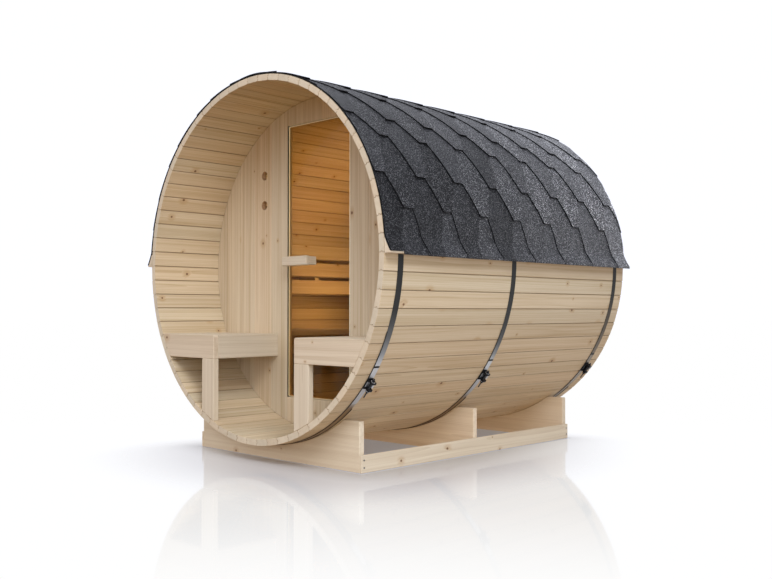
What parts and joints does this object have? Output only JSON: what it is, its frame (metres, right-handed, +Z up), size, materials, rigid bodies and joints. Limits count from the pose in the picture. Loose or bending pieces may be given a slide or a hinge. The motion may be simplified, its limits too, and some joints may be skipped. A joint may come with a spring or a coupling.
{
  "type": "barrel sauna",
  "caption": "Barrel-shaped timber sauna with an open bench porch, a hinged tinted-glass door, steel bands, a shingled upper half and a cradle base.",
  "frame": {"origin": "on the ground under the middle of the barrel", "axes": "+Z up, barrel axis along Y with the porch and door facing -Y, +X to the right seen from the front"},
  "size_m": [2.3218, 2.4, 2.333],
  "materials": {
    "stave_wood": "planed raw spruce",
    "wall_wood": "planed raw spruce boards",
    "frame_wood": "planed raw spruce",
    "base_wood": "planed raw spruce",
    "shingle": "mineral-granule bitumen",
    "band_steel": "polished steel strip",
    "clamp_metal": "black with bright bolts",
    "hinge_steel": "satin",
    "door_glass": "bronze-tinted clear"
  },
  "bodies": {
    "sauna": {"staves_upper_right": "stave_wood", "staves_crown": "stave_wood", "staves_upper_left": "stave_wood", "staves_lower_left": "stave_wood", "staves_floor": "stave_wood", "staves_lower_right": "stave_wood", "eave_battens": "frame_wood", "roof_shingles_left": "shingle", "roof_shingles_right": "shingle", "eave_shingles_left": "shingle", "eave_shingles_right": "shingle", "band_front": "band_steel", "band_middle": "band_steel", "band_rear": "band_steel", "tensioner_front": "clamp_metal", "tensioner_middle": "clamp_metal", "tensioner_rear": "clamp_metal", "cradle_front": "base_wood", "cradle_middle": "base_wood", "cradle_rear": "base_wood", "skid_left": "base_wood", "skid_right": "base_wood", "front_wall_left": "wall_wood", "front_wall_right": "wall_wood", "front_wall_head": "wall_wood", "front_wall_sill": "wall_wood", "door_stops": "frame_wood", "rear_wall": "wall_wood", "porch_left_rails": "frame_wood", "porch_left_post": "frame_wood", "porch_left_seat": "frame_wood", "porch_right_rails": "frame_wood", "porch_right_post": "frame_wood", "porch_right_seat": "frame_wood", "inner_bench_seat": "frame_wood", "inner_bench_frame": "frame_wood", "backrest_slats": "frame_wood", "backrest_posts": "frame_wood", "door_hinge_leaves": "hinge_steel"},
    "door": {"door_glass": "door_glass", "door_handle": "frame_wood", "door_hinge_arms": "hinge_steel"}
  },
  "joints": [
    {"name": "door_hinge", "type": "hinge", "parent": "sauna", "child": "door", "pos_m": [0.314, -0.692, 1.26], "axis": [0, 0, 1], "range_deg": [0, 90]}
  ]
}
